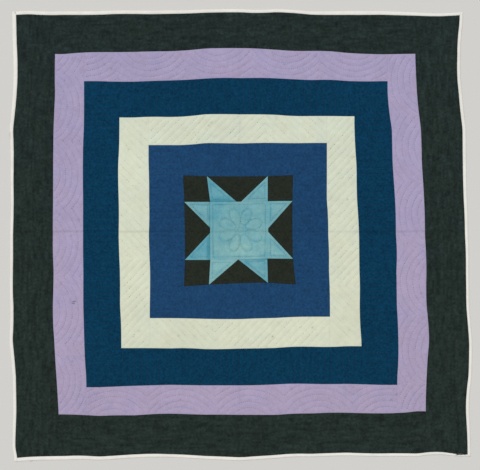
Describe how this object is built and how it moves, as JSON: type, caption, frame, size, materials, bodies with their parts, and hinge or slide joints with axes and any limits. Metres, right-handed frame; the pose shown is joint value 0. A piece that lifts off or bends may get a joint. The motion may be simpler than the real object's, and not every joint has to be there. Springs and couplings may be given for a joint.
{
  "type": "star quilt blanket",
  "caption": "Square patchwork bed quilt lying flat: a pointed star block in the middle, plain cloth frames round it, sewn through in arcs and lines, and bound in white",
  "frame": {"origin": "middle of the quilt's outline, on its flat back", "axes": "+X to the right across the face, +Y towards the quilt's upper edge, +Z out of the face"},
  "size_m": [1.963, 1.9202, 0.0046],
  "materials": {
    "binding_cloth": "matte",
    "charcoal_cloth": "matte",
    "lilac_cloth": "matte",
    "navy_cloth": "matte",
    "cream_cloth": "matte",
    "blue_cloth": "matte",
    "black_cloth": "matte",
    "star_cloth": "matte"
  },
  "bodies": {
    "root": {"binding_top": "binding_cloth", "binding_right": "binding_cloth", "binding_bottom": "binding_cloth", "binding_left": "binding_cloth", "charcoal_top": "charcoal_cloth", "charcoal_right": "charcoal_cloth", "charcoal_bottom": "charcoal_cloth", "charcoal_left": "charcoal_cloth", "lilac_top": "lilac_cloth", "lilac_right": "lilac_cloth", "lilac_bottom": "lilac_cloth", "lilac_left": "lilac_cloth", "navy_top": "navy_cloth", "navy_right": "navy_cloth", "navy_bottom": "navy_cloth", "navy_left": "navy_cloth", "cream_top": "cream_cloth", "cream_right": "cream_cloth", "cream_bottom": "cream_cloth", "cream_left": "cream_cloth", "blue_top": "blue_cloth", "blue_right": "blue_cloth", "blue_bottom": "blue_cloth", "blue_left": "blue_cloth", "star_centre": "star_cloth", "star_point_top_left": "star_cloth", "star_point_top_right": "star_cloth", "star_point_right_upper": "star_cloth", "star_point_right_lower": "star_cloth", "star_point_bottom_right": "star_cloth", "star_point_bottom_left": "star_cloth", "star_point_left_lower": "star_cloth", "star_point_left_upper": "star_cloth", "block_side_top": "black_cloth", "block_side_right": "black_cloth", "block_side_bottom": "black_cloth", "block_side_left": "black_cloth", "block_corner_top_left": "black_cloth", "block_corner_top_right": "black_cloth", "block_corner_bottom_right": "black_cloth", "block_corner_bottom_left": "black_cloth"}
  },
  "joints": []
}
